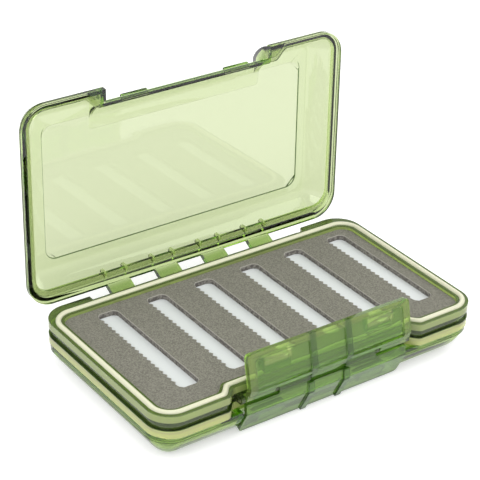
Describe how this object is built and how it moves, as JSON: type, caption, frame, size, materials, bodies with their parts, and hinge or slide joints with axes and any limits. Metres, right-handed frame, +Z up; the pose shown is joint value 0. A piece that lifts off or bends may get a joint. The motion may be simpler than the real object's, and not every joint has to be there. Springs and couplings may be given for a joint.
{
  "type": "fly box",
  "caption": "Flat double-sided fly box: foam with slotted windows on both faces of a tray, a gasketed hinged lid over each face and snap latches at the front.",
  "frame": {"origin": "centre of the face the box rests on, under the middle of the tray", "axes": "+X along the length, +Y from the latches to the hinge, +Z up"},
  "size_m": [0.186, 0.1359, 0.1302],
  "materials": {
    "tray_plastic": "smooth tinted translucent moulding",
    "lid_plastic": "smooth clear green moulding with frosted inner panel",
    "latch_plastic": "smooth tinted translucent moulding",
    "gasket_rubber": "soft pale silicone",
    "foam": "closed-cell foam, fine speckle",
    "backing": "smooth white sheet",
    "pin_steel": "drawn wire"
  },
  "bodies": {
    "tray": {"tray_frame": "tray_plastic", "upper_gasket": "gasket_rubber", "lower_gasket": "gasket_rubber", "upper_foam_insert": "foam", "lower_foam_insert": "foam", "upper_backing_sheet": "backing", "lower_backing_sheet": "backing", "hinge_pin": "pin_steel", "latch_pin": "pin_steel"},
    "top_lid": {"top_lid": "lid_plastic"},
    "bottom_lid": {"bottom_lid": "lid_plastic"},
    "upper_latch": {"upper_latch": "latch_plastic"},
    "lower_latch": {"lower_latch": "latch_plastic"}
  },
  "joints": [
    {"name": "top_lid_hinge", "type": "hinge", "parent": "tray", "child": "top_lid", "pos_m": [0, 0.0563, 0.0212], "axis": [1, 0, 0], "range_deg": [0, 91]},
    {"name": "bottom_lid_hinge", "type": "hinge", "parent": "tray", "child": "bottom_lid", "pos_m": [0, 0.0563, 0.0212], "axis": [1, 0, 0], "range_deg": [0, 91]},
    {"name": "upper_latch_hinge", "type": "hinge", "parent": "tray", "child": "upper_latch", "pos_m": [0, -0.0512, 0.0212], "axis": [1, 0, 0], "range_deg": [-17, 35]},
    {"name": "lower_latch_hinge", "type": "hinge", "parent": "tray", "child": "lower_latch", "pos_m": [0, -0.0512, 0.0212], "axis": [1, 0, 0], "range_deg": [-38.5, 3.5]}
  ]
}
